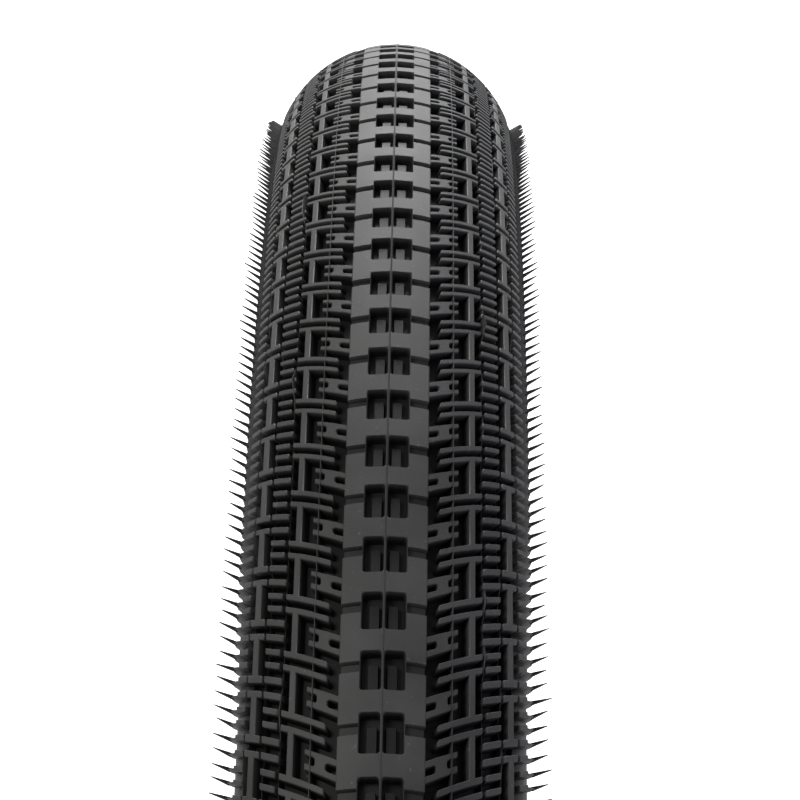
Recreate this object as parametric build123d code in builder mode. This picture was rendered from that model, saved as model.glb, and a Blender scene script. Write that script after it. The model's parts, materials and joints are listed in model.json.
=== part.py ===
"""Clincher bicycle tyre, size 45-622, built up layer by layer as on a tyre-building drum.

The wheel axis is +Y, +X points forward, +Z is up and the origin is the wheel centre.
Left is the +Y side. Every layer is a ring turned from its section about the wheel axis.

A section is drawn with its local x along the wheel axis and its local y along the radius.
Angles in it are measured about the section centre, from the crown towards the bead.
"""
import os
from math import acos, ceil, cos, degrees, radians, sin, sqrt

from build123d import *

os.makedirs("parts", exist_ok=True)

# ---------------------------------------------------------------- driving dimensions (mm)
bead_seat_diameter = 622.0
section_height = 45.0
section_roundness = 0.54         # radius of the tread's top across the tyre, as a share of the height

# Rubber and fabric, from the road inwards
block_height = 2.0
tread_base = 1.3
belt_thickness = 1.5
breaker_thickness = 0.5
ply_thickness = 0.4
liner_thickness = 0.35
sidewall_thickness = 1.4         # over the casing, turn-ups included

# Widths, as angles from the crown
belt_edge = 48.0
breaker_edge = 56.0
tread_full_edge = 97.0
tread_feather_edge = 106.0
outer_ply_end = 108.0
inner_ply_end = 113.0

# Rows of tread blocks, as pairs of angles from the crown
centre_strip_edge = 15.6
block_rows = [(21.0, 28.2), (32.2, 38.6), (39.8, 47.8), (50.0, 56.5), (58.5, 66.0), (69.0, 92.0)]

arc_step = 2.4                   # longest length that a curved layer is drawn in

# Bead
wire_diameter = 0.8
wire_pitch = 0.84                # between the centres of neighbouring turns
gum_radius = 1.4
wrap_thickness = 0.2
seat_rubber = 0.5                # chafer under the bead
chafer_height = 7.0              # above the bead seat, on the outside

# ---------------------------------------------------------------- sizes that follow
seat_radius = bead_seat_diameter / 2
outer_radius = seat_radius + section_height
tread_top_radius = section_roundness * section_height
centre_radius = outer_radius - tread_top_radius
section_centre = (0, centre_radius)

base_surface = tread_top_radius - block_height
belt_surface = base_surface - tread_base
breaker_surface = belt_surface - belt_thickness
casing_surface = breaker_surface - breaker_thickness
liner_surface = casing_surface - 2 * ply_thickness
cavity_radius = liner_surface - liner_thickness
sidewall_surface = casing_surface + sidewall_thickness

bead_core = gum_radius + wrap_thickness
bead_outside = bead_core + 2 * ply_thickness
bead_radius = seat_radius + seat_rubber + bead_outside
bead_reach = casing_surface + bead_core            # from the section centre to the bead centre
bead_side = sqrt(bead_reach**2 - (centre_radius - bead_radius) ** 2)
bead_angle = 180 - degrees(acos((centre_radius - bead_radius) / bead_reach))

# The turned-up plies leave the bead and join the casing along one common tangent
turn_up_angle = bead_angle - degrees(acos((casing_surface - bead_core) / bead_reach))

heel_width = bead_core + sidewall_thickness
toe_width = bead_outside + liner_thickness

section_plane = Plane.YZ
sides = {"left": 1, "right": -1}


# ---------------------------------------------------------------- section helpers
def polar(centre, radius, angle):
    """Return the section point at a radius and an angle about a centre."""
    return (centre[0] + radius * sin(radians(angle)), centre[1] + radius * cos(radians(angle)))


def bead_centre(side=1):
    """Return the middle of one bead's wire bundle."""
    return (side * bead_side, bead_radius)


def band(centre, inner, outer, start, end, side=1):
    """Return a curved strip between two radii and two angles about a centre."""
    with BuildSketch(Plane.XY) as strip:
        with BuildLine():
            low = CenterArc(centre, inner, 90 - side * start, side * (start - end))
            high = CenterArc(centre, outer, 90 - side * start, side * (start - end))
            Line(low @ 0, high @ 0)
            Line(low @ 1, high @ 1)
        make_face()
    return strip.sketch


def tangent_strip(offset, side=1):
    """Return the web between casing and bead, up to the common tangent moved out by an offset."""
    casing_point = polar(section_centre, casing_surface + offset, side * turn_up_angle)
    bead_point = polar(bead_centre(side), bead_core + offset, side * turn_up_angle)
    with BuildSketch(Plane.XY) as web:
        Polygon(section_centre, casing_point, bead_point, bead_centre(side), align=None)
        with Locations(section_centre):
            Circle(casing_surface, mode=Mode.SUBTRACT)
    return web.sketch


def filler_section(side=1):
    """Return the bead filler: the web above the wires, blunted at its two thin ends."""
    tip = turn_up_angle + 5.0
    foot = bead_angle - 4.5
    with BuildSketch(Plane.XY) as filler:
        add(tangent_strip(0, side))
        with Locations(bead_centre(side)):
            Circle(bead_core, mode=Mode.SUBTRACT)
        add(band(section_centre, casing_surface, bead_reach, tip, foot, side), mode=Mode.INTERSECT)
    return filler.sketch


def wrapped(plies, turn_up_end, side=1):
    """Return all that lies within a number of plies wrapped round one bead, casing included."""
    offset = plies * ply_thickness
    with BuildSketch(Plane.XY) as wrap:
        add(tangent_strip(offset, side))
        with Locations(bead_centre(side)):
            Circle(bead_core + offset)
        add(band(section_centre, casing_surface - offset, casing_surface, 0, bead_angle, side))
        add(band(section_centre, casing_surface, casing_surface + offset, turn_up_end, turn_up_angle, side))
    return wrap.sketch


def short_arcs(wire):
    """Return a section outline with its long arcs drawn as runs of short ones."""
    lengths = []
    for edge in wire.edges():
        open_arc = edge.geom_type == GeomType.CIRCLE and len(edge.vertices()) > 1
        steps = ceil(edge.length / arc_step) if open_arc else 1
        if steps > 1:
            lengths += [edge.trim(step / steps, (step + 1) / steps) for step in range(steps)]
        else:
            lengths.append(edge)
    return Wire(lengths)


def turn(section, in_short_arcs=False):
    """Turn a section into a full ring about the wheel axis."""
    for face in section.sketch.faces():
        if in_short_arcs:
            face = Face(short_arcs(face.outer_wire()), [short_arcs(hole) for hole in face.inner_wires()])
        revolve(face, axis=Axis.Y, clean=False)


def finish(piece, name):
    """Name a finished piece and write its STEP file."""
    piece.label = name
    export_step(piece, f"parts/{name}.step")


# ---------------------------------------------------------------- bead wires: seven turns each side
for name, side in sides.items():
    with BuildPart() as bead_wire:
        with BuildSketch(section_plane) as section:
            with Locations(bead_centre(side)):
                Circle(wire_diameter / 2)
                with PolarLocations(wire_pitch, 6, start_angle=30):
                    Circle(wire_diameter / 2)
        turn(section)
    finish(bead_wire.part, f"bead_wire_{name}")

    # Rubber that the turns are embedded in
    with BuildPart() as bead_gum:
        with BuildSketch(section_plane) as section:
            with Locations(bead_centre(side)):
                Circle(gum_radius)
                Circle(wire_diameter / 2, mode=Mode.SUBTRACT)
                with PolarLocations(wire_pitch, 6, start_angle=30):
                    Circle(wire_diameter / 2, mode=Mode.SUBTRACT)
        turn(section)
    finish(bead_gum.part, f"bead_gum_{name}")

    # Fabric tape wound round the gummed wires
    with BuildPart() as bead_wrap:
        with BuildSketch(section_plane) as section:
            with Locations(bead_centre(side)):
                Circle(bead_core)
                Circle(gum_radius, mode=Mode.SUBTRACT)
        turn(section)
    finish(bead_wrap.part, f"bead_wrap_{name}")

    # Hard rubber wedge that the turned-up plies close over
    with BuildPart() as bead_filler:
        with BuildSketch(section_plane) as section:
            add(filler_section(side))
        turn(section, in_short_arcs=True)
    finish(bead_filler.part, f"bead_filler_{name}")

# ---------------------------------------------------------------- casing plies, bead to bead
with BuildPart() as casing_ply_outer:
    with BuildSketch(section_plane) as section:
        for side in sides.values():
            add(wrapped(1, outer_ply_end, side))
        with Locations(section_centre):
            Circle(casing_surface - ply_thickness, mode=Mode.SUBTRACT)
        for side in sides.values():
            add(filler_section(side), mode=Mode.SUBTRACT)
            with Locations(bead_centre(side)):
                Circle(bead_core, mode=Mode.SUBTRACT)
    turn(section, in_short_arcs=True)
finish(casing_ply_outer.part, "casing_ply_outer")

with BuildPart() as casing_ply_inner:
    with BuildSketch(section_plane) as section:
        for side in sides.values():
            add(wrapped(2, inner_ply_end, side))
        with Locations(section_centre):
            Circle(liner_surface, mode=Mode.SUBTRACT)
        for side in sides.values():
            add(wrapped(1, outer_ply_end, side), mode=Mode.SUBTRACT)
    turn(section)
finish(casing_ply_inner.part, "casing_ply_inner")

# ---------------------------------------------------------------- airtight liner, toe to toe
toe_angle = 270.0                # straight inwards from the bead centre
with BuildPart() as inner_liner:
    with BuildSketch(section_plane) as section:
        for side in sides.values():
            add(band(section_centre, cavity_radius, liner_surface, 0, bead_angle, side))
            add(band(bead_centre(side), bead_outside, toe_width, bead_angle + 180, toe_angle, side))
    turn(section)
finish(inner_liner.part, "inner_liner")

# ---------------------------------------------------------------- fabric breaker and rubber puncture belt
with BuildPart() as breaker:
    with BuildSketch(section_plane) as section:
        add(band(section_centre, casing_surface, breaker_surface, -breaker_edge, breaker_edge))
    turn(section)
finish(breaker.part, "breaker_strip")

with BuildPart() as belt:
    with BuildSketch(section_plane) as section:
        add(band(section_centre, breaker_surface, belt_surface, -belt_edge, belt_edge))
    turn(section)
finish(belt.part, "puncture_belt")

# ---------------------------------------------------------------- sidewalls and chafers
chafer_top = seat_radius + chafer_height
for name, side in sides.items():
    with BuildPart() as sidewall:
        with BuildSketch(section_plane) as section:
            add(tangent_strip(sidewall_thickness, side))
            top, foot = tread_feather_edge, turn_up_angle
            add(band(section_centre, casing_surface, sidewall_surface, top, foot, side))
            add(wrapped(1, outer_ply_end, side), mode=Mode.SUBTRACT)
            add(wrapped(2, inner_ply_end, side), mode=Mode.SUBTRACT)
            with Locations((0, chafer_top)):
                Rectangle(outer_radius, outer_radius, align=(Align.CENTER, Align.MAX), mode=Mode.SUBTRACT)
        turn(section)
    finish(sidewall.part, f"sidewall_{name}")

    # Hard strip that the rim rubs on: round the bead, flat underneath, flush with the sidewall
    foot_middle = side * (bead_side + (heel_width - toe_width) / 2)
    with BuildPart() as chafer:
        with BuildSketch(section_plane) as section:
            add(tangent_strip(sidewall_thickness, side))
            add(band(bead_centre(side), bead_outside, heel_width, turn_up_angle, 90, side))
            with Locations((foot_middle, seat_radius)):
                Rectangle(heel_width + toe_width, bead_radius - seat_radius, align=(Align.CENTER, Align.MIN))
            with Locations(bead_centre(side)):
                Circle(bead_outside, mode=Mode.SUBTRACT)
            add(wrapped(2, inner_ply_end, side), mode=Mode.SUBTRACT)
            with Locations((0, chafer_top)):
                Rectangle(outer_radius, outer_radius, align=(Align.CENTER, Align.MIN), mode=Mode.SUBTRACT)
        turn(section, in_short_arcs=True)
    finish(chafer.part, f"chafer_{name}")

# ---------------------------------------------------------------- tread: base, shoulder taper and rows
with BuildPart() as tread:
    with BuildSketch(section_plane) as section:
        add(band(section_centre, casing_surface, base_surface, -tread_full_edge, tread_full_edge))
        for side in sides.values():
            full_edge = side * tread_full_edge
            feather_edge = side * tread_feather_edge
            Polygon(
                section_centre,
                polar(section_centre, base_surface, full_edge),
                polar(section_centre, sidewall_surface, feather_edge),
                align=None,
            )
        with Locations(section_centre):
            Circle(casing_surface, mode=Mode.SUBTRACT)
        for inner, outer, edge in (
            (casing_surface, breaker_surface, breaker_edge),
            (breaker_surface, belt_surface, belt_edge),
        ):
            add(band(section_centre, inner, outer, -edge, edge), mode=Mode.SUBTRACT)
        add(band(section_centre, base_surface, tread_top_radius, -centre_strip_edge, centre_strip_edge))
        for side in sides.values():
            for row_start, row_end in block_rows:
                add(band(section_centre, base_surface, tread_top_radius, row_start, row_end, side))
    turn(section)
finish(tread.part, "tread")
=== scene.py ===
"""Bicycle tyre, size 45-622: the outside look, built over the CAD frame.

The wheel axis is +Y, +X points forward and +Z is up, with the origin at the wheel centre. The tread
pattern is laid out flat for one pitch of one side, wrapped round the section, mirrored across the
wheel plane and spun round the wheel axis. Flat places are given as (angle from the crown in degrees,
distance along the tread in pitches, positive towards the bottom of the tyre as seen from the front).
"""
import json
import logging
import math
from dataclasses import dataclass
from enum import Enum
from typing import ClassVar

import bmesh
import bpy
from mathutils import Matrix, Vector, noise


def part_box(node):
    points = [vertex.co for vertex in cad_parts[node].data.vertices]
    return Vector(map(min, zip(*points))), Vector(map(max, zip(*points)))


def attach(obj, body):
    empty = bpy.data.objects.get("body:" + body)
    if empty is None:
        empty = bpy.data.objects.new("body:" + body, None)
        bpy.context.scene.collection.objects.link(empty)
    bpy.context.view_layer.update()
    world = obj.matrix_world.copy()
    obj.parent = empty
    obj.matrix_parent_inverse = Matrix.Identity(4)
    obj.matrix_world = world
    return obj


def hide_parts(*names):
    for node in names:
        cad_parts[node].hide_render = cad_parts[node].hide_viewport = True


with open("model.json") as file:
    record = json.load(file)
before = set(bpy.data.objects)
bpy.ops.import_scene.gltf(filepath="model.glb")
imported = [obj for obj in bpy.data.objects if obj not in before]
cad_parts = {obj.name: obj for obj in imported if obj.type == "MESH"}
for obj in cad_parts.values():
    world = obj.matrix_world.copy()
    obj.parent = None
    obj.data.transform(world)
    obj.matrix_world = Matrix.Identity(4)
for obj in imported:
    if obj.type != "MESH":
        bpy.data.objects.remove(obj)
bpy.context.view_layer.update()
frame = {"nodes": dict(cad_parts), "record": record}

BODY = "root"
MM = 0.001
LOG = logging.getLogger("tyre")

SEAM_GAP = 0.005 * MM            # points of neighbouring copies closer than this are one point
GRAIN_DEPTH = 0.2 * MM           # depth that the finishes' bumps stand for
THIN_STEP = 2.0                  # largest angle between points where thin layers meet
BEAD_STEP = 8.0                  # largest angle between points round a bead
SHADE_FULL_BELOW = 0.9                 # height over the tread's floor up to which the blocks get the full painted shade, in mm
SHADE_START_BELOW_TOP = 0.05                  # depth below the blocks' tops where their painted shade begins, in mm

Point = tuple[float, float]
Triple = tuple[float, float, float]
Socket = bpy.types.NodeSocket


class Side(Enum):
    """The two sides of the tyre, with the sign of their Y."""

    LEFT = 1
    RIGHT = -1


# ------------------------------------------------------------------------------- geometry base
@dataclass(frozen=True)
class Section:
    """The tyre's cross-section in millimetres, taken from the CAD frame.

    Attributes:
        outer: wheel radius over the tread.
        top: radius of the tread's top, about the section centre.
        belt: radius over the puncture belt, about the section centre.
        breaker: radius over the breaker strip, about the section centre.
        casing: radius over the plies, about the section centre.
        liner: radius over the liner, about the section centre.
        seat: wheel radius of the bead seat.
        heel: half the width over the chafers.
        block: depth of the tread pattern.
        sidewall: thickness of the sidewall over the plies.
        ply: thickness of one ply.
        liner_thickness: thickness of the liner.
        chafer_height: height of the chafer's top over the bead seat.
        bead_core: radius of the bead with its wrap.
        seat_rubber: thickness of the chafer under the bead.
    """

    outer: float
    top: float
    belt: float
    breaker: float
    casing: float
    liner: float
    seat: float
    heel: float
    block: float = 2.0
    sidewall: float = 1.4
    ply: float = 0.4
    liner_thickness: float = 0.35
    chafer_height: float = 7.0
    bead_core: float = 1.6
    seat_rubber: float = 0.5

    @classmethod
    def from_frame(cls) -> "Section":
        """Work the section out from the boxes of the CAD nodes and the bore mount.

        Returns:
            The section, with its radii about the section centre.
        """
        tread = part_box("tread")
        outer, top = tread[1][2] / MM, tread[1][1] / MM
        centre = outer - top
        surface = {
            node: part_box(node)[1][2] / MM - centre
            for node in ("puncture_belt", "breaker_strip", "casing_ply_outer", "inner_liner")
        }
        return cls(
            outer=outer,
            top=top,
            belt=surface["puncture_belt"],
            breaker=surface["breaker_strip"],
            casing=surface["casing_ply_outer"],
            liner=surface["inner_liner"],
            seat=frame["record"]["mounts"][0]["dims"]["r_mm"],
            heel=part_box("chafer_left")[1][1] / MM,
        )

    @property
    def centre(self) -> float:
        """Radius of the section centre about the wheel axis."""
        return self.outer - self.top

    @property
    def base(self) -> float:
        """Radius of the tread's floor between the blocks, about the section centre."""
        return self.top - self.block

    @property
    def plies(self) -> float:
        """Radius over the plies that are turned up round a bead, about the bead's middle."""
        return self.bead_core + 2 * self.ply

    @property
    def bead(self) -> Point:
        """Axial place and wheel radius of the left bead's middle."""
        return self.heel - self.bead_core - self.sidewall, self.seat + self.seat_rubber + self.plies

    @property
    def bead_angle(self) -> float:
        """Angle of the bead's middle, in degrees from the crown."""
        return 180 - math.degrees(math.acos((self.centre - self.bead[1]) / (self.casing + self.bead_core)))

    @property
    def turn_up(self) -> float:
        """Angle of the tangent from casing to bead, in degrees from the crown."""
        slope = math.acos((self.casing - self.bead_core) / (self.casing + self.bead_core))
        return self.bead_angle - math.degrees(slope)

    def outward(self, place: Vector) -> Vector:
        """Return the way, in millimetres, to a point of the tyre from the section centre beside it."""
        radius = math.hypot(place.x, place.z)
        reach = (radius - self.centre) / radius
        return Vector((place.x * reach, place.y, place.z * reach))

    def polar(self, radius: float, angle: float, about: Point | None = None) -> Point:
        """Return (axial, wheel radius) at a radius and an angle from the crown, about a centre."""
        x, r = about or (0.0, self.centre)
        return x + radius * math.sin(math.radians(angle)), r + radius * math.cos(math.radians(angle))

    def arc(
        self, radius: float, start: float, end: float, about: Point | None = None, step: float = 4.0
    ) -> list[Point]:
        """Return the points of an arc, ends included.

        Args:
            radius: radius of the arc in millimetres.
            start: first angle in degrees from the crown.
            end: last angle in degrees.
            about: centre of the arc, the section centre by default.
            step: largest angle between points.

        Returns:
            Points as (axial, wheel radius).
        """
        count = max(1, math.ceil(abs(end - start) / step))
        return [self.polar(radius, start + (end - start) * i / count, about) for i in range(count + 1)]


@dataclass(frozen=True)
class Pattern:
    """How the tread pattern repeats round the tyre.

    Attributes:
        section: the section that it lies on.
        pitches: how often it repeats.
        strip_edge: edge of the centre strip, as an angle from the crown.
        slant: how far the rows outside the strip lean back, per millimetre across.
        first_line: where the first pitch starts, in degrees round the wheel from +X towards the top.
    """

    section: Section
    pitches: int = 191
    strip_edge: float = 15.6
    slant: float = 0.685
    first_line: float = 79.2

    @property
    def pitch(self) -> float:
        """Length of one pitch at the crown, in millimetres."""
        return 2 * math.pi * self.section.outer / self.pitches

    def across(self, angle: float) -> float:
        """Flat distance from the crown of an angle on the tread's top."""
        return self.section.top * math.radians(angle)

    def flat(self, angle: float, along: float) -> Vector:
        """Flat place of a point of the pattern; the rows outside the strip lean back."""
        x = self.across(angle)
        lean = self.slant * max(0.0, x - self.across(self.strip_edge))
        return Vector((x, -along * self.pitch + lean, 0.0))

    def wrapped(self, flat: Vector) -> Vector:
        """Return the place on the tyre, in metres, of a flat point with its height over the base."""
        angle = flat.x / self.section.top
        reach = self.section.base + flat.z
        radius = self.section.centre + reach * math.cos(angle)
        turn = math.radians(self.first_line) + flat.y / self.section.outer
        return Vector((radius * math.cos(turn), reach * math.sin(angle), radius * math.sin(turn))) * MM

    def repeat(self, bm: bmesh.types.BMesh, joined: bool) -> None:
        """Wrap one side of one pitch round the section, mirror it and repeat it round the tyre.

        Args:
            bm: the flat mesh, in millimetres, changed in place.
            joined: whether neighbouring copies share the points where they meet.
        """
        for vert in bm.verts:
            vert.co = self.wrapped(vert.co)
        geometry = bm.verts[:] + bm.edges[:] + bm.faces[:]
        bmesh.ops.mirror(bm, geom=geometry, axis="Y", merge_dist=SEAM_GAP if joined else -1)
        bmesh.ops.recalc_face_normals(bm, faces=bm.faces)
        copies = self.pitches - 1
        bmesh.ops.spin(
            bm, geom=bm.verts[:] + bm.edges[:] + bm.faces[:], cent=(0, 0, 0), axis=(0, 1, 0),
            angle=2 * math.pi * copies / self.pitches, steps=copies, use_duplicate=True,
        )
        if joined:
            bmesh.ops.remove_doubles(bm, verts=bm.verts[:], dist=SEAM_GAP)
            bmesh.ops.recalc_face_normals(bm, faces=bm.faces)


class Piece:
    """Helpers that turn a bmesh into a finished object on the tyre."""

    @staticmethod
    def publish(
        bm: bmesh.types.BMesh, name: str, material: bpy.types.Material, slot: str, nodes: list[str],
        sharp: float = 38.0,
    ) -> bpy.types.Object:
        """Make the object, shade it, hang it from the body and hide the CAD nodes that it stands for.

        Args:
            bm: the finished mesh, freed here.
            name: object name.
            material: its finish.
            slot: the record's material slot; not used.
            nodes: CAD nodes that the object stands for.
            sharp: edges turning more than this many degrees stay sharp.

        Returns:
            The new object.
        """
        mesh = bpy.data.meshes.new(name)
        bm.to_mesh(mesh)
        bm.free()
        mesh.shade_smooth()
        mesh.set_sharp_from_angle(angle=math.radians(sharp))
        mesh.materials.append(material)
        piece = bpy.data.objects.new(name, mesh)
        bpy.context.scene.collection.objects.link(piece)
        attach(piece, BODY)
        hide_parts(*nodes)
        mesh.calc_loop_triangles()
        LOG.info("%s: %d triangles", name, len(mesh.loop_triangles))
        return piece

    @staticmethod
    def spin_profile(bm: bmesh.types.BMesh, profile: list[Point], steps: int = 288) -> None:
        """Spin a closed outline of (axial, wheel radius) points in millimetres round the wheel axis."""
        verts = [bm.verts.new((radius * MM, x * MM, 0.0)) for x, radius in profile]
        edges = [bm.edges.new((verts[i], verts[(i + 1) % len(verts)])) for i in range(len(verts))]
        bmesh.ops.spin(
            bm, geom=verts + edges, cent=(0, 0, 0), axis=(0, 1, 0), angle=2 * math.pi, steps=steps,
            use_merge=True,
        )
        bmesh.ops.recalc_face_normals(bm, faces=bm.faces)


# ------------------------------------------------------------------------------- finishes
class Graph:
    """A material's nodes, with short ways to add the kinds that the finishes share."""

    def __init__(self, name: str) -> None:
        """Start the material, with its shader and its texture place.

        Args:
            name: material name.
        """
        self.material = bpy.data.materials.new(name)
        self.material.use_nodes = True
        self.nodes = self.material.node_tree.nodes
        self.links = self.material.node_tree.links
        self.shader = self.nodes["Principled BSDF"]
        self.place = self.nodes.new("ShaderNodeTexCoord").outputs["Object"]

    def feed(self, source: Socket, entry: str) -> None:
        """Link a socket to one of the shader's inputs."""
        self.links.new(source, self.shader.inputs[entry])

    def noise(self, scale: float, detail: float = 2.0) -> Socket:
        """Add a noise texture and return its value."""
        node = self.nodes.new("ShaderNodeTexNoise")
        node.inputs["Scale"].default_value = scale
        node.inputs["Detail"].default_value = detail
        self.links.new(self.place, node.inputs["Vector"])
        return node.outputs["Fac"]

    def threads(self, scale: float, distortion: float) -> Socket:
        """Add a diagonal band texture and return its value."""
        node = self.nodes.new("ShaderNodeTexWave")
        node.bands_direction = "DIAGONAL"
        node.inputs["Scale"].default_value = scale
        node.inputs["Distortion"].default_value = distortion
        self.links.new(self.place, node.inputs["Vector"])
        return node.outputs["Fac"]

    def ramp(self, value: Socket, low: Triple, high: Triple, ends: Point = (0.0, 1.0)) -> Socket:
        """Turn a value into a colour between two colours, over the values between two ends."""
        node = self.nodes.new("ShaderNodeValToRGB")
        for stop, end, colour in zip(node.color_ramp.elements, ends, (low, high)):
            stop.position = end
            stop.color = (*colour, 1)
        self.links.new(value, node.inputs["Fac"])
        return node.outputs["Color"]

    def spread(self, value: Socket, low: float, high: float, ends: Point = (0.0, 1.0)) -> Socket:
        """Turn a value between two ends into a number between two others."""
        node = self.nodes.new("ShaderNodeMapRange")
        node.inputs["From Min"].default_value, node.inputs["From Max"].default_value = ends
        node.inputs["To Min"].default_value, node.inputs["To Max"].default_value = low, high
        self.links.new(value, node.inputs["Value"])
        return node.outputs["Result"]

    def mix(self, share: Socket, first: Socket | Triple, second: Socket | Triple) -> Socket:
        """Mix two colours, each a socket or a constant."""
        node = self.nodes.new("ShaderNodeMix")
        node.data_type = "RGBA"
        self.links.new(share, node.inputs["Factor"])
        for entry, colour in (("A", first), ("B", second)):
            if isinstance(colour, tuple):
                node.inputs[entry].default_value = (*colour, 1)
            else:
                self.links.new(colour, node.inputs[entry])
        return node.outputs["Result"]

    def length(self, first: Socket, second: Socket) -> Socket:
        """Return the length of a vector with two components."""
        both = self.nodes.new("ShaderNodeCombineXYZ")
        self.links.new(first, both.inputs["X"])
        self.links.new(second, both.inputs["Y"])
        measure = self.nodes.new("ShaderNodeVectorMath")
        measure.operation = "LENGTH"
        self.links.new(both.outputs["Vector"], measure.inputs[0])
        return measure.outputs["Value"]

    def bump(self, height: Socket, strength: float) -> None:
        """Raise the surface by a value."""
        node = self.nodes.new("ShaderNodeBump")
        node.inputs["Strength"].default_value = strength
        node.inputs["Distance"].default_value = GRAIN_DEPTH
        self.links.new(height, node.inputs["Height"])
        self.feed(node.outputs["Normal"], "Normal")


@dataclass(frozen=True)
class Rubber:
    """Moulded rubber: dark, with a faint bloom, fine grain and specks of dust, and on the blocks painted
    shade that darkens it towards the tread's floor.

    Attributes:
        name: material name.
        dark: colour where there is least bloom.
        bloom: colour where there is most.
        roughness: roughness where there is least and most bloom.
        grain: fineness of the grain.
        bump: strength of the grain.
        dust: how dense the specks are.
        specular: how much it reflects.
        painted_shade: colour of the painted shade low between the blocks, standing in for the shade that
            falls there.
        painted_shade_span: distances from the section centre, in metres, where the painted shade is full and
            where the top's own colour starts.
        centre: wheel radius of the section centre, in metres.
        cloud_scale: fineness of the bloom.
        cloud_ends: values of the bloom's noise that are all dark and all bloom.
        speck_scale: fineness of the dust.
        speck_ends: values of the dust's noise where specks begin and are full.
        speck_colour: colour of the dust.
    """

    name: str
    dark: Triple = (0.030, 0.030, 0.030)
    bloom: Triple = (0.056, 0.056, 0.057)
    roughness: Point = (0.45, 0.66)
    grain: float = 2600.0
    bump: float = 0.18
    dust: float = 0.30
    specular: float = 0.35
    painted_shade: Triple = (0.004, 0.004, 0.0043)
    painted_shade_span: Point | None = None
    centre: float = 0.0
    cloud_scale: float = 55.0
    cloud_ends: Point = (0.34, 0.72)
    speck_scale: float = 900.0
    speck_ends: Point = (0.68, 0.76)
    speck_colour: Triple = (0.16, 0.16, 0.155)

    def build(self) -> bpy.types.Material:
        """Return the node material."""
        graph = Graph(self.name)
        graph.shader.inputs["Specular IOR Level"].default_value = self.specular
        clouds = graph.noise(self.cloud_scale, detail=5.0)
        tone = graph.ramp(clouds, self.dark, self.bloom, self.cloud_ends)
        specks = graph.noise(self.speck_scale)
        dust = graph.ramp(specks, (0.0, 0.0, 0.0), (self.dust, self.dust, self.dust), self.speck_ends)
        tone = graph.mix(dust, tone, self.speck_colour)
        # Painted shade: the colour darkens towards the tread's floor, in place of the shade between the
        # blocks.
        if self.painted_shade_span:
            tone = graph.mix(self.rise(graph), self.painted_shade, tone)
        graph.feed(tone, "Base Color")
        graph.feed(graph.spread(clouds, *self.roughness), "Roughness")
        graph.bump(graph.noise(self.grain, detail=3.0), self.bump)
        return graph.material

    def rise(self, graph: Graph) -> Socket:
        """Return how far a point has risen from the hollows (0) to the tops (1), the mask of the painted
        shade.

        Args:
            graph: the material being built.

        Returns:
            The share, by the distance from the section centre.
        """
        parts = graph.nodes.new("ShaderNodeSeparateXYZ")
        graph.links.new(graph.place, parts.inputs["Vector"])
        inward = graph.nodes.new("ShaderNodeMath")
        inward.operation = "SUBTRACT"
        inward.inputs[1].default_value = self.centre
        graph.links.new(graph.length(parts.outputs["X"], parts.outputs["Z"]), inward.inputs[0])
        reach = graph.length(inward.outputs["Value"], parts.outputs["Y"])
        return graph.spread(reach, 0.0, 1.0, self.painted_shade_span)


@dataclass(frozen=True)
class Cloth:
    """Rubber-coated cord fabric or woven tape, with threads laid at an angle round the tyre.

    Attributes:
        name: material name.
        dark: colour between the threads.
        light: colour of the threads.
        threads: fineness of the threads.
        waver: how uneven the threads are.
        roughness: roughness all over.
        bump: how far the threads stand out.
    """

    name: str
    dark: Triple
    light: Triple
    threads: float = 900.0
    waver: float = 0.6
    roughness: float = 0.8
    bump: float = 0.3

    def build(self) -> bpy.types.Material:
        """Return the node material."""
        graph = Graph(self.name)
        graph.shader.inputs["Roughness"].default_value = self.roughness
        threads = graph.threads(self.threads, self.waver)
        graph.feed(graph.ramp(threads, self.dark, self.light), "Base Color")
        graph.bump(threads, self.bump)
        return graph.material


@dataclass(frozen=True)
class Wire:
    """Bronze-coated steel wire.

    Attributes:
        name: material name.
        dark: colour where it is most tarnished.
        light: colour where it is bright.
        tarnish: fineness of the tarnish.
        roughness: roughness where it is least and most tarnished.
    """

    name: str
    dark: Triple = (0.38, 0.26, 0.14)
    light: Triple = (0.66, 0.50, 0.30)
    tarnish: float = 400.0
    roughness: Point = (0.25, 0.5)

    def build(self) -> bpy.types.Material:
        """Return the node material."""
        graph = Graph(self.name)
        graph.shader.inputs["Metallic"].default_value = 1.0
        tarnish = graph.noise(self.tarnish)
        graph.feed(graph.ramp(tarnish, self.dark, self.light), "Base Color")
        graph.feed(graph.spread(tarnish, *self.roughness), "Roughness")
        return graph.material


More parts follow.
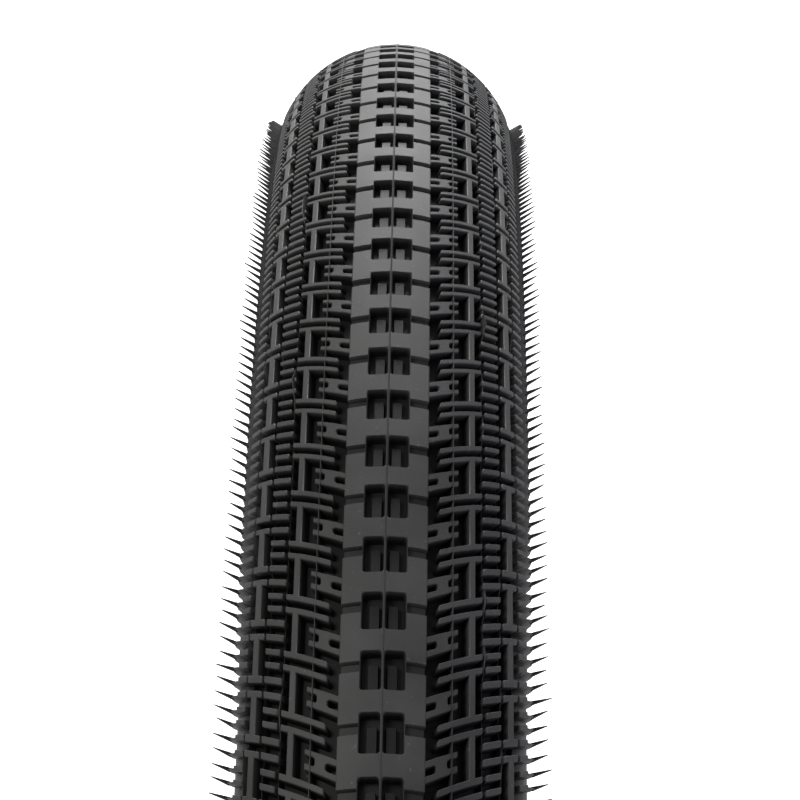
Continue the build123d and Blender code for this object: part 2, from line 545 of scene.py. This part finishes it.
# ------------------------------------------------------------------------------- tread blocks
@dataclass(frozen=True)
class Block:
    """One raised shape of the pattern.

    Attributes:
        outline: corners as (angle from the crown, place along the tread in pitches).
        height: height of its top over the tread's floor, in millimetres.
        draft: how far the walls lean in over that height.
        rim: width of the softened rim round its top.
        sink: how far it reaches below the floor.
    """

    outline: tuple[Point, ...]
    height: float = 2.0
    draft: float = 0.10
    rim: float = 0.12
    sink: float = 0.4

    @classmethod
    def bar(cls, start: float, end: float, low: float, high: float, **sizes: float) -> "Block":
        """Return a bar with eased corners.

        Args:
            start: its first angle from the crown.
            end: its last angle.
            low: the place along the tread where it begins, in pitches.
            high: the place where it ends.
            sizes: other sizes of the block.

        Returns:
            The bar.
        """
        ease_x, ease_w = 0.35, 0.022
        return cls(
            (
                (start, high - ease_w), (start, low + ease_w), (start + ease_x, low), (end - ease_x, low),
                (end, low + ease_w), (end, high - ease_w), (end - ease_x, high), (start + ease_x, high),
            ),
            **sizes,
        )

    @classmethod
    def i_shape(cls, reach: Point, stem: Point, first: Point, second: Point) -> "Block":
        """Return a block shaped like an I that lies across the tyre.

        Args:
            reach: the angles that its bars run between.
            stem: the angles of its stem.
            first: places along the tread of the nearer bar.
            second: places of the farther bar.

        Returns:
            The block.
        """
        (start, end), (near, far) = reach, stem
        ease_in, ease_out, ease_w = 0.5, 0.3, 0.025
        return cls(
            (
                (start + ease_in, first[0]), (end - ease_out, first[0]), (end, first[0] + ease_w),
                (end, first[1] - ease_w), (end - ease_out, first[1]), (far, first[1]), (far, second[0]),
                (end - ease_out, second[0]), (end, second[0] + ease_w), (end, second[1] - ease_w),
                (end - ease_out, second[1]), (start + ease_in, second[1]), (start, second[1] - ease_w),
                (start, second[0] + ease_w), (start + ease_in, second[0]), (near, second[0]),
                (near, first[1]), (start + ease_in, first[1]), (start, first[1] - ease_w),
                (start, first[0] + ease_w),
            )
        )

    def raise_on(self, bm: bmesh.types.BMesh, pattern: Pattern) -> None:
        """Build the block flat in a bmesh, in millimetres.

        Args:
            bm: mesh to add to.
            pattern: gives the flat places of the corners.
        """
        foot = Vector((0, 0, -self.sink))
        corners = [bm.verts.new(pattern.flat(angle, along) + foot) for angle, along in self.outline]
        bottom = bm.faces.new(corners)
        bottom.normal_update()
        if bottom.normal.z < 0:
            bottom.normal_flip()
            bottom.normal_update()
        raised = bmesh.ops.extrude_face_region(bm, geom=[bottom], use_keep_orig=True)["geom"]
        risen = [item for item in raised if isinstance(item, bmesh.types.BMVert)]
        bmesh.ops.translate(bm, verts=risen, vec=(0, 0, self.sink))
        top = [item for item in raised if isinstance(item, bmesh.types.BMFace)]
        for face in top:
            face.normal_update()
        up = 1.0 if top[0].normal.z > 0 else -1.0
        for inset, rise in ((self.draft, self.height - self.rim), (self.rim, self.rim)):
            bmesh.ops.inset_region(bm, faces=top, thickness=inset, depth=up * rise, use_even_offset=True)


@dataclass
class TreadRow:
    """What one pitch of the tread holds, repeated on both sides and round the tyre.

    Attributes:
        name: name of the finished object.
        pattern: how it repeats.
        joined: whether neighbouring copies share the points where they meet.
        sharp: edges turning more than this many degrees stay sharp.
    """

    name: str
    pattern: Pattern
    joined: ClassVar[bool] = False
    sharp: ClassVar[float] = 38.0

    def build(self, material: bpy.types.Material) -> bpy.types.Object:
        """Build the row.

        Args:
            material: its finish.

        Returns:
            The finished object.
        """
        bm = bmesh.new()
        self.shape(bm)
        self.pattern.repeat(bm, self.joined)
        self.weather(bm)
        return Piece.publish(bm, self.name, material, "tread_rubber", ["tread"], self.sharp)

    def shape(self, bm: bmesh.types.BMesh) -> None:
        """Shape one pitch of one side, flat and in millimetres; each kind of row has its own."""
        raise NotImplementedError

    def weather(self, bm: bmesh.types.BMesh) -> None:
        """Leave the row as moulded; rows with loose rubber bend theirs here."""


@dataclass
class BlockRow(TreadRow):
    """A row of blocks.

    Attributes:
        blocks: the blocks of one pitch.
        cuts: longest stretch of a block, in degrees, that stays flat across the section.
    """

    blocks: tuple[Block, ...]
    cuts: float = 3.5

    def shape(self, bm: bmesh.types.BMesh) -> None:
        """Raise the blocks."""
        for block in self.blocks:
            block.raise_on(bm, self.pattern)
        bmesh.ops.recalc_face_normals(bm, faces=bm.faces)
        self.cut_across(bm)

    def cut_across(self, bm: bmesh.types.BMesh) -> None:
        """Cut the flat blocks into short lengths, so that they can follow the section's curve."""
        angles = [angle for block in self.blocks for angle, _ in block.outline]
        low, high = min(angles), max(angles)
        count = max(1, round((high - low) / self.cuts))
        for i in range(1, count):
            x = self.pattern.across(low + (high - low) * i / count)
            geometry = bm.verts[:] + bm.edges[:] + bm.faces[:]
            bmesh.ops.bisect_plane(bm, geom=geometry, plane_co=(x, 0, 0), plane_no=(1, 0, 0), dist=0.0001)


@dataclass
class FinRow(TreadRow):
    """The low fins that end the bars on the shoulders, each with a thin thorn of rubber standing on it.

    Attributes:
        places: middles of the fins along the tread, in pitches.
        ridge: the fin's ridge as (angle from the crown, height over the tread's floor).
        flanks: its sides as (share of the half width, share of the ridge's height).
        half_width: half the width of its foot, in millimetres.
        sink: how far the foot reaches below the floor.
        thorn: root and tip of the thorn as (angle from the crown, height over the tread's floor).
        thorn_radii: radius of the thorn at its root and at its tip, in millimetres.
        lean: how far the thorn's tip leans towards the top of the tyre, in millimetres.
        sway: how unevenly the thorns are bent sideways, in millimetres.
        stretch: how unevenly long they are, in millimetres.
        ease: how quickly both change round the tyre.
    """

    places: tuple[float, ...]
    ridge: tuple[Point, ...] = (
        (66.2, -0.4), (66.8, 1.4), (70.2, 1.9), (74.0, 1.9), (76.5, 1.6), (82.0, 1.0), (93.0, -0.4),
    )
    flanks: tuple[Point, ...] = ((-1.0, -1.0), (-0.45, 0.7), (0.0, 1.0), (0.45, 0.7), (1.0, -1.0))
    half_width: float = 0.66
    sink: float = 0.4
    thorn: tuple[Point, Point] = ((74.6, 1.3), (72.1, 4.45))
    thorn_radii: Point = (0.42, 0.08)
    lean: float = 0.35
    sway: float = 0.10
    stretch: float = 0.3
    ease: float = 0.45

    def shape(self, bm: bmesh.types.BMesh) -> None:
        """Raise the fins, then the thorns that stand on them."""
        for along in self.places:
            self.raise_fin(bm, along)
        bmesh.ops.holes_fill(bm, edges=bm.edges[:])
        for along in self.places:
            self.raise_thorn(bm, along)
        bmesh.ops.recalc_face_normals(bm, faces=bm.faces)

    def raise_fin(self, bm: bmesh.types.BMesh, along: float) -> None:
        """Add the low fin at one place along the pitch."""
        across, sides = len(self.ridge) - 1, len(self.flanks) - 1
        for vert in bmesh.ops.create_grid(bm, x_segments=across, y_segments=sides, size=1.0)["verts"]:
            angle, height = self.ridge[round((vert.co.x + 1) / 2 * across)]
            share, rise = self.flanks[round((vert.co.y + 1) / 2 * sides)]
            z = height * rise if height > 0 and rise > 0 else -self.sink
            vert.co = self.pattern.flat(angle, along) + Vector((0, share * self.half_width, z))

    def raise_thorn(self, bm: bmesh.types.BMesh, along: float) -> None:
        """Add the thorn at one place along the pitch."""
        (root_angle, root_height), (tip_angle, tip_height) = self.thorn
        root = self.pattern.flat(root_angle, along) + Vector((0, 0, root_height))
        tip = self.pattern.flat(tip_angle, along) + Vector((0, self.lean, tip_height))
        axis = tip - root
        aim = Matrix.Translation((root + tip) / 2) @ axis.to_track_quat("Z", "Y").to_matrix().to_4x4()
        bmesh.ops.create_cone(
            bm, cap_ends=True, segments=5, radius1=self.thorn_radii[0], radius2=self.thorn_radii[1],
            depth=axis.length, matrix=aim,
        )

    def weather(self, bm: bmesh.types.BMesh) -> None:
        """Bend the thorns unevenly round the tyre."""
        section = self.pattern.section
        other_noise = Vector((31, 7, 5))
        for vert in bm.verts:
            place = vert.co / MM
            out = section.outward(place)
            rise = (out.length - section.base) / section.block
            if rise <= 1:
                continue
            turn = Vector((-place.z, 0, place.x)).normalized()
            bend = noise.noise(place * self.ease) * self.sway * rise**2
            growth = noise.noise(place * self.ease + other_noise) * self.stretch * rise
            vert.co += (turn * bend + out.normalized() * growth) * MM


@dataclass
class CentreStrip(TreadRow):
    """The raised strip along the crown, with paired pockets and stepped cut-outs at its edges.

    Attributes:
        start: the place along the tread where the pitch begins.
        shoulder: angles from the crown where the strip's top is bent, outside the pockets.
        pocket: the pocket's inner and outer angle, and the places where it begins and ends.
        pocket_lip: width and depth of the bevel round the pocket's mouth.
        pocket_corner: easing of the pocket's corners.
        pocket_draft: how far the pocket's walls lean in.
        pocket_depth: depth of the pocket.
        notch: the cut-out's inner angle, and the places where it begins and ends.
        notch_wall: length of the cut-out's end walls, in pitches.
        notch_depth: depth of the cut-out where it begins and ends.
        edge_drop: how far the strip's edge is rounded down.
        flash: height of the flash along the crown.
        foot: how far the outer wall leans out, and its lower edge's height over the tread's floor.
    """

    joined: ClassVar[bool] = True
    sharp: ClassVar[float] = 15.0
    start: float = -0.06
    shoulder: Point = (11.8, 15.2)
    pocket: tuple[float, float, float, float] = (0.32, 8.2, -0.035, 0.62)
    pocket_lip: Point = (0.05, 0.10)
    pocket_corner: float = 0.45
    pocket_draft: float = 0.10
    pocket_depth: float = 1.85
    notch: Triple = (8.5, 0.14, 0.31)
    notch_wall: float = 0.012
    notch_depth: Point = (0.75, 0.85)
    edge_drop: float = 0.12
    flash: float = 0.16
    foot: Point = (0.10, -0.4)

    def shape(self, bm: bmesh.types.BMesh) -> None:
        """Lay the strip's top, drop its outer wall and sink the pocket."""
        inner, outer, low, high = self.pocket
        notch_angle, notch_top, notch_foot = self.notch
        angles = [0.0, inner, outer, notch_angle, *self.shoulder, self.pattern.strip_edge]
        places = [
            self.start, low, notch_top, notch_top + self.notch_wall, notch_foot, notch_foot + self.notch_wall,
            high, self.start + 1,
        ]
        rows = [
            [bm.verts.new(self.pattern.flat(a, w) + Vector((0, 0, self.height(a, w)))) for a in angles]
            for w in places
        ]
        hole = []
        for j in range(len(places) - 1):
            for i in range(len(angles) - 1):
                face = bm.faces.new((rows[j][i], rows[j + 1][i], rows[j + 1][i + 1], rows[j][i + 1]))
                inside = angles[i] >= inner and angles[i + 1] <= outer
                if inside and low <= places[j] and places[j + 1] <= high:
                    hole.append(face)
        bmesh.ops.recalc_face_normals(bm, faces=bm.faces)
        bm.normal_update()
        if hole[0].normal.z < 0:
            bmesh.ops.reverse_faces(bm, faces=bm.faces[:])
        self.drop_wall(bm, [row[-1] for row in rows])
        self.sink_pocket(bm, hole)

    def height(self, angle: float, along: float) -> float:
        """Return the height of the strip's top over the tread's floor, before the pockets."""
        notch_angle, notch_top, notch_foot = self.notch
        height = self.pattern.section.block
        if angle == 0:
            height += self.flash
        if angle == self.pattern.strip_edge:
            height -= self.edge_drop
        if angle >= notch_angle and notch_top < along <= notch_foot:
            height -= self.notch_depth[1] if along == notch_foot else self.notch_depth[0]
        return height

    def drop_wall(self, bm: bmesh.types.BMesh, edge: list[bmesh.types.BMVert]) -> None:
        """Drop the strip's outer wall below the tread's floor."""
        edges = [bm.edges.get(pair) for pair in zip(edge, edge[1:])]
        dropped = bmesh.ops.extrude_edge_only(bm, edges=edges)["geom"]
        for vert in (item for item in dropped if isinstance(item, bmesh.types.BMVert)):
            vert.co.x += self.foot[0]
            vert.co.z = self.foot[1]

    def sink_pocket(self, bm: bmesh.types.BMesh, hole: list[bmesh.types.BMFace]) -> None:
        """Sink one pocket with eased corners into the strip's top."""
        lip, lip_depth = self.pocket_lip
        floor = bmesh.ops.dissolve_faces(bm, faces=hole)["region"]
        bmesh.ops.inset_region(bm, faces=floor, thickness=lip, depth=-lip_depth, use_even_offset=True)
        middle = floor[0].calc_center_median()
        from_middle = sorted(floor[0].verts, key=lambda v: abs(v.co.x - middle.x) + abs(v.co.y - middle.y))
        bmesh.ops.bevel(
            bm, geom=from_middle[-4:], offset=self.pocket_corner, offset_type="OFFSET", segments=2,
            profile=0.5, affect="VERTICES", material=-1,
        )
        bm.normal_update()
        pocket_middle = self.pattern.across((self.pocket[0] + self.pocket[1]) / 2)
        level = [
            face for face in bm.faces
            if face.normal.z > 0.99 and abs(face.calc_center_median().x - pocket_middle) < 0.5
        ]
        floor = min(level, key=lambda face: (round(face.calc_center_median().z, 3), -face.calc_area()))
        depth = self.pocket_depth - lip_depth
        bmesh.ops.inset_region(
            bm, faces=[floor], thickness=self.pocket_draft, depth=-depth, use_even_offset=True
        )


@dataclass
class FlashLines:
    """Thin ribs of flash where the mould's rings met.

    Attributes:
        pattern: gives the section that they stand on.
        lines: their angle from the crown and height over the tread's floor.
        width: their thickness, in millimetres.
        sink: how far they reach below the floor.
        steps: how many straight lengths make one round.
        ragged: how far bits of the outer ones are pulled out, in millimetres.
        calm: share of the noise that pulls nothing out.
        ease: how quickly that changes round the tyre.
    """

    pattern: Pattern
    lines: tuple[Point, ...] = ((25.5, 2.02), (39.3, 1.2), (48.1, 0.9), (57.5, 0.9))
    width: float = 0.08
    sink: float = 0.2
    steps: int = 384
    ragged: float = 3.6
    calm: float = 0.12
    ease: float = 0.29

    def build(self, material: bpy.types.Material) -> bpy.types.Object:
        """Spin each rib round the tyre on both sides, and pull bits of the outer ones out.

        Args:
            material: its finish.

        Returns:
            The finished object.
        """
        section = self.pattern.section
        bm = bmesh.new()
        half = math.degrees(self.width / section.top) / 2
        for side in Side:
            for angle, height in self.lines:
                foot, tip = section.base - self.sink, section.base + height
                corners = ((foot, -half), (tip, -half), (tip, half), (foot, half))
                profile = [section.polar(radius, side.value * (angle + turn)) for radius, turn in corners]
                Piece.spin_profile(bm, profile, steps=self.steps)
        self.pull_bits(bm)
        return Piece.publish(bm, "flash_lines", material, "tread_rubber", ["tread"])

    def pull_bits(self, bm: bmesh.types.BMesh) -> None:
        """Pull the tips of the outer ribs outwards here and there."""
        section = self.pattern.section
        between = math.radians((self.lines[0][0] + self.lines[1][0]) / 2)
        inner_edge = section.top * math.sin(between) * MM
        for vert in bm.verts:
            out = section.outward(vert.co / MM)
            if abs(vert.co.y) > inner_edge and out.length > section.base:
                pull = max(0.0, noise.noise(vert.co / MM * self.ease) - self.calm) * self.ragged
                vert.co += out.normalized() * min(pull, section.block) * MM


@dataclass
class Tread:
    """The tread: a smooth base with the rows of blocks on it.

    Attributes:
        pattern: how the rows repeat.
        bars: places of the short bars along the tread, in pitches.
        full_edge: angle from the crown where the base begins to thin out.
        feather_edge: angle where it ends.
        belt_edge: angle where the puncture belt ends.
        breaker_edge: angle where the breaker ends.
    """

    pattern: Pattern
    bars: tuple[Point, ...] = ((0.18, 0.30), (0.41, 0.53), (0.66, 0.79), (0.92, 1.05))
    full_edge: float = 97.0
    feather_edge: float = 106.0
    belt_edge: float = 48.0
    breaker_edge: float = 56.0

    def build(self, material: bpy.types.Material, dark: bpy.types.Material) -> None:
        """Build the base, the strip, the rows and the flash.

        Args:
            material: finish of the blocks, with painted shade low down.
            dark: finish of the base between them, made far darker than the blocks as painted shade.
        """
        self.build_base(dark)
        CentreStrip("centre_strip", self.pattern).build(material)
        for name, blocks in self.block_rows().items():
            BlockRow(name, self.pattern, blocks).build(material)
        middles = tuple((low + high) / 2 for low, high in self.bars)
        FinRow("shoulder_fins", self.pattern, middles).build(material)
        FlashLines(self.pattern).build(material)

    def block_rows(self) -> dict[str, tuple[Block, ...]]:
        """Return the blocks of each row, from the crown outwards."""
        stepped = tuple(Block.bar(38.4 if low > 0.6 else 39.8, 47.8, low, high) for low, high in self.bars)
        return {
            "pocket_pads": (Block.bar(1.3, 5.8, 0.14, 0.60, height=0.95, draft=0.1, rim=0.1),),
            "tabs": (self.tab(),),
            "first_i_blocks": (Block.i_shape((19.8, 38.6), (32.2, 35.3), (0.41, 0.53), (1.18, 1.30)),),
            "comb_bars": stepped,
            "second_i_blocks": (Block.i_shape((48.5, 58.0), (51.3, 55.2), (0.92, 1.05), (1.66, 1.80)),),
            "outer_bars": tuple(Block.bar(58.6, 66.0, low, high) for low, high in self.bars),
        }

    def build_base(self, material: bpy.types.Material) -> bpy.types.Object:
        """Spin the tread's base, fitted over the belt, the breaker and the casing."""
        section = self.pattern.section
        wall = section.casing + section.sidewall
        outline = [
            *section.arc(section.base, -self.full_edge, self.full_edge),
            section.polar(wall, self.feather_edge),
            *section.arc(section.casing, self.feather_edge, self.breaker_edge),
            *section.arc(section.breaker, self.breaker_edge, self.belt_edge),
            *section.arc(section.belt, self.belt_edge, -self.belt_edge),
            *section.arc(section.breaker, -self.belt_edge, -self.breaker_edge),
            *section.arc(section.casing, -self.breaker_edge, -self.feather_edge),
            section.polar(wall, -self.feather_edge),
        ]
        bm = bmesh.new()
        Piece.spin_profile(bm, outline)
        return Piece.publish(bm, "tread_base", material, "tread_rubber", ["tread"])

    @staticmethod
    def tab() -> Block:
        """Return the forked tab that reaches out from the strip, open round its oval hole."""
        return Block(
            (
                (15.0, 0.67), (27.9, 0.68), (28.2, 0.70), (28.2, 0.77), (27.9, 0.785), (24.4, 0.79),
                (24.1, 0.81), (24.1, 0.88), (24.4, 0.90), (27.9, 0.90), (28.2, 0.915), (28.2, 1.005),
                (27.9, 1.02), (15.0, 1.03), (15.0, 0.90), (18.9, 0.90), (19.5, 0.875), (19.5, 0.815),
                (18.9, 0.79), (15.0, 0.79),
            ),
            height=1.85,
        )


# ------------------------------------------------------------------------------- carcass
@dataclass
class Carcass:
    """The smooth rubber below the tread: sidewalls, chafers and liner.

    Attributes:
        section: the tyre's section.
        outer_ply_end: angle from the crown where the outer ply's turn-up ends.
        inner_ply_end: angle where the inner ply's turn-up ends.
        feather_edge: angle where the sidewall meets the tread.
        heel_ease: easing of the chafer's outer foot, in millimetres.
        toe_ease: easing of its inner foot.
    """

    section: Section
    outer_ply_end: float = 108.0
    inner_ply_end: float = 113.0
    feather_edge: float = 106.0
    heel_ease: float = 0.3
    toe_ease: float = 0.2

    def build(self, wall: bpy.types.Material, chafer: bpy.types.Material, liner: bpy.types.Material) -> None:
        """Build both sidewalls, both chafers and the liner.

        Args:
            wall: finish of the sidewalls.
            chafer: finish of the chafers.
            liner: finish of the liner.
        """
        for side in Side:
            name = side.name.lower()
            self.ring(
                self.sidewall(), side, f"sidewall_skin_{name}", wall, "sidewall_rubber", f"sidewall_{name}"
            )
            self.ring(self.chafer(), side, f"chafer_skin_{name}", chafer, "chafer_rubber", f"chafer_{name}")
        self.ring(self.liner(), Side.LEFT, "liner_skin", liner, "liner_rubber", "inner_liner")

    @staticmethod
    def ring(
        outline: list[Point], side: Side, name: str, material: bpy.types.Material, slot: str, node: str
    ) -> bpy.types.Object:
        """Spin one outline, drawn for the left side, on its side of the tyre."""
        bm = bmesh.new()
        Piece.spin_profile(bm, [(side.value * x, radius) for x, radius in outline])
        return Piece.publish(bm, name, material, slot, [node])

    def along_tangent(self, offset: float, radius: float) -> Point:
        """Return the point at a wheel radius on the common tangent moved out by an offset."""
        section = self.section
        a = section.polar(section.casing + offset, section.turn_up)
        b = section.polar(section.bead_core + offset, section.turn_up, section.bead)
        share = (a[1] - radius) / (a[1] - b[1])
        return a[0] + (b[0] - a[0]) * share, radius

    def sidewall(self) -> list[Point]:
        """Return the left sidewall's outline."""
        section = self.section
        top = section.seat + section.chafer_height
        one_ply, two_plies = section.casing + section.ply, section.casing + 2 * section.ply
        return [
            *section.arc(section.casing + section.sidewall, self.feather_edge, section.turn_up),
            self.along_tangent(section.sidewall, top),
            self.along_tangent(2 * section.ply, top),
            *section.arc(two_plies, section.turn_up, self.inner_ply_end, step=THIN_STEP),
            *section.arc(one_ply, self.inner_ply_end, self.outer_ply_end, step=THIN_STEP),
            *section.arc(section.casing, self.outer_ply_end, self.feather_edge, step=THIN_STEP),
        ]

    def chafer(self) -> list[Point]:
        """Return the left chafer's outline, with its flat seat."""
        section = self.section
        x, radius = section.bead
        heel = section.bead_core + section.sidewall
        toe = section.plies + section.liner_thickness
        top = section.seat + section.chafer_height
        return [
            self.along_tangent(section.sidewall, top),
            *section.arc(heel, section.turn_up, 90.0, section.bead, step=BEAD_STEP),
            (x + heel, section.seat + self.heel_ease),
            (x + heel - self.heel_ease, section.seat),
            (x - toe + self.toe_ease, section.seat),
            (x - toe, section.seat + self.toe_ease),
            (x - toe, radius),
            *section.arc(section.plies, 270.0, 180.0, section.bead, step=BEAD_STEP),
            *section.arc(section.plies, 180.0, section.turn_up, section.bead, step=BEAD_STEP)[1:],
            self.along_tangent(2 * section.ply, top),
        ]

    def liner(self) -> list[Point]:
        """Return the liner's outline, toe to toe."""
        section = self.section
        toe = section.plies + section.liner_thickness
        cavity = section.liner - section.liner_thickness
        foot = section.bead_angle + 180
        left_foot = [
            *section.arc(section.plies, foot, 270.0, section.bead, step=BEAD_STEP),
            *section.arc(toe, 270.0, foot, section.bead, step=BEAD_STEP),
        ]
        return [
            *section.arc(section.liner, -section.bead_angle, section.bead_angle)[1:-1],
            *left_foot,
            *section.arc(cavity, section.bead_angle, -section.bead_angle)[1:-1],
            *((-x, radius) for x, radius in reversed(left_foot)),
        ]


@dataclass
class Core:
    """The hidden layers, which keep their CAD meshes and get their own finishes."""

    finishes: dict[str, bpy.types.Material]

    def dress(self) -> None:
        """Put each finish into its nodes' slots."""
        for name, node in frame["nodes"].items():
            for part, material in self.finishes.items():
                if name.startswith(part):
                    for held in node.material_slots:
                        held.material = material
                    LOG.info("%s: finish %s", name, material.name)


# ------------------------------------------------------------------------------- stage
@dataclass(frozen=True)
class Lamp:
    """One soft lamp.

    Attributes:
        name: object name.
        place: where it hangs, in metres.
        target: what it points at.
        power: watts.
        colour: colour of its light.
        size: its width in metres.
    """

    name: str
    place: Triple
    target: Triple
    power: float
    colour: Triple = (1.0, 1.0, 1.0)
    size: float = 0.8

    def hang(self) -> None:
        """Make the lamp and add it to the stage."""
        lamp = bpy.data.lights.new(self.name, "AREA")
        lamp.size, lamp.energy, lamp.color = self.size, self.power, self.colour
        holder = bpy.data.objects.new(self.name, lamp)
        holder.location = self.place
        aim = Vector(self.target) - Vector(self.place)
        holder.rotation_euler = aim.to_track_quat("-Z", "Y").to_euler()
        bpy.context.scene.collection.objects.link(holder)


@dataclass
class Studio:
    """Floor, backdrop, lamps and camera.

    Attributes:
        section: the tyre's section.
        lamps: the lamps.
        ambient: strength of the light from all round.
        glow: strength of the backdrop's light.
        elevation: angle from the wheel axis's level up to the camera, in degrees.
        distance: distance of the camera from the wheel centre, in metres.
        offset: angle of the camera to the side, in radians.
        roll: how far the camera is turned about its view, in radians.
        lens: focal length in millimetres, on a 36 mm sensor.
    """

    section: Section
    lamps: tuple[Lamp, ...] = (
        Lamp("key", (1.3, -1.2, 1.4), (0.1, 0, 0.28), 25, (1.0, 0.98, 0.93)),
        Lamp("cool", (0.9, 1.6, 0.5), (0.1, 0, 0.28), 9, (0.78, 0.82, 1.0)),
        Lamp("rim", (-0.9, 0.0, 1.5), (0.05, 0, 0.35), 12),
    )
    ambient: float = 0.3
    glow: float = 1.1
    elevation: float = 17.76
    distance: float = 0.92489
    offset: float = 0.0020
    roll: float = 0.01809
    lens: float = 187.56

    def build(self) -> None:
        """Set the stage up and aim the camera."""
        just_below = -self.section.outer * MM - 0.0005
        floor = self.sheet("studio_floor", "pale_floor", 4.0, Matrix.Identity(4), (0, 0, just_below))
        floor.inputs["Base Color"].default_value = (0.85, 0.85, 0.85, 1)
        floor.inputs["Roughness"].default_value = 0.9
        for lamp in self.lamps:
            lamp.hang()
        upright = Matrix.Rotation(math.pi / 2, 4, "Y")
        backdrop = self.sheet("studio_backdrop", "white_backdrop", 1.6, upright, (-2.2, 0, 1.2))
        backdrop.inputs["Base Color"].default_value = (1, 1, 1, 1)
        backdrop.inputs["Emission Color"].default_value = (1, 1, 1, 1)
        backdrop.inputs["Emission Strength"].default_value = self.glow
        self.build_world()
        self.build_camera()

    @staticmethod
    def sheet(name: str, finish: str, size: float, turn: Matrix, place: Triple) -> bpy.types.Node:
        """Put up one square sheet of the stage.

        Args:
            name: object name.
            finish: material name.
            size: half its width in metres.
            turn: how it is turned from level.
            place: where its middle is.

        Returns:
            Its shader, to be given its colour.
        """
        bm = bmesh.new()
        bmesh.ops.create_grid(bm, x_segments=1, y_segments=1, size=size, matrix=turn)
        mesh = bpy.data.meshes.new(name)
        bm.to_mesh(mesh)
        bm.free()
        material = bpy.data.materials.new(finish)
        material.use_nodes = True
        mesh.materials.append(material)
        sheet = bpy.data.objects.new(name, mesh)
        sheet.location = place
        bpy.context.scene.collection.objects.link(sheet)
        return material.node_tree.nodes["Principled BSDF"]

    def build_world(self) -> None:
        """Surround the tyre with dim grey."""
        world = bpy.data.worlds.new("grey_room")
        world.use_nodes = True
        background = world.node_tree.nodes["Background"]
        background.inputs["Color"].default_value = (1, 1, 1, 1)
        background.inputs["Strength"].default_value = self.ambient
        bpy.context.scene.world = world
        bpy.context.scene.view_settings.view_transform = "Standard"

    def build_camera(self) -> None:
        """Place the camera level, in front of the tyre and near its top."""
        camera = bpy.data.cameras.new("camera")
        camera.lens, camera.sensor_width = self.lens, 36.0
        camera.clip_start = 0.05
        holder = bpy.data.objects.new("camera", camera)
        lift, aside = math.radians(self.elevation), self.offset
        eye = Vector((math.cos(lift) * math.cos(aside), math.sin(aside), math.sin(lift) * math.cos(aside)))
        backward, right, up = Vector((1, 0, 0)), Vector((0, 1, 0)), Vector((0, 0, 1))
        turned = math.cos(self.roll) * right + math.sin(self.roll) * up
        upright = -math.sin(self.roll) * right + math.cos(self.roll) * up
        axes = Matrix((turned, upright, backward)).transposed().to_4x4()
        holder.matrix_world = Matrix.Translation(eye * self.distance) @ axes
        bpy.context.scene.collection.objects.link(holder)
        bpy.context.scene.camera = holder


def main() -> None:
    """Build every part of the tyre in order, then the stage."""
    logging.basicConfig(level=logging.INFO, format="%(message)s")
    section = Section.from_frame()
    pattern = Pattern(section)
    # Painted shade on the blocks: full near the tread's floor, gone just below their tops.
    painted_shade_span = ((section.base + SHADE_FULL_BELOW) * MM, (section.top - SHADE_START_BELOW_TOP) * MM)
    block_rubber_with_painted_shade = Rubber("block_rubber_with_painted_shade", painted_shade_span=painted_shade_span, centre=section.centre * MM).build()
    # Painted shade: the base between the blocks gets a rubber far darker than the blocks', in place of the
    # shade there.
    base_rubber_painted_shade = Rubber(
        "base_rubber_painted_shade", dark=(0.005, 0.005, 0.0052), bloom=(0.009, 0.009, 0.0095), specular=0.15, dust=0.1
    ).build()
    wall_rubber = Rubber("wall_rubber", roughness=(0.38, 0.52), dust=0.15, bump=0.12).build()
    chafer_rubber = Rubber(
        "chafer_rubber", dark=(0.02, 0.02, 0.02), dust=0.1, bump=0.35, grain=1500.0
    ).build()
    liner_rubber = Rubber(
        "liner_rubber", dark=(0.045, 0.045, 0.046), bloom=(0.09, 0.09, 0.088), dust=0.4
    ).build()
    Tread(pattern).build(block_rubber_with_painted_shade, base_rubber_painted_shade)
    Carcass(section).build(wall_rubber, chafer_rubber, liner_rubber)
    casing = Cloth("casing_cord", (0.05, 0.045, 0.04), (0.17, 0.15, 0.13)).build()
    Core(
        {
            "puncture_belt": Rubber("belt_rubber", dark=(0.05, 0.14, 0.06), bloom=(0.12, 0.26, 0.13)).build(),
            "breaker_strip": Cloth(
                "aramid_tape", (0.34, 0.29, 0.18), (0.56, 0.50, 0.36), threads=700.0
            ).build(),
            "casing_ply": casing,
            "bead_wrap": casing,
            "bead_wire": Wire("bronzed_wire").build(),
            "bead_gum": Rubber("bead_rubber", dark=(0.018, 0.018, 0.018), dust=0.0).build(),
            "bead_filler": Rubber("filler_rubber", dark=(0.02, 0.02, 0.02), dust=0.0).build(),
        }
    ).dress()
    Studio(section).build()


if __name__ == "__main__":
    main()
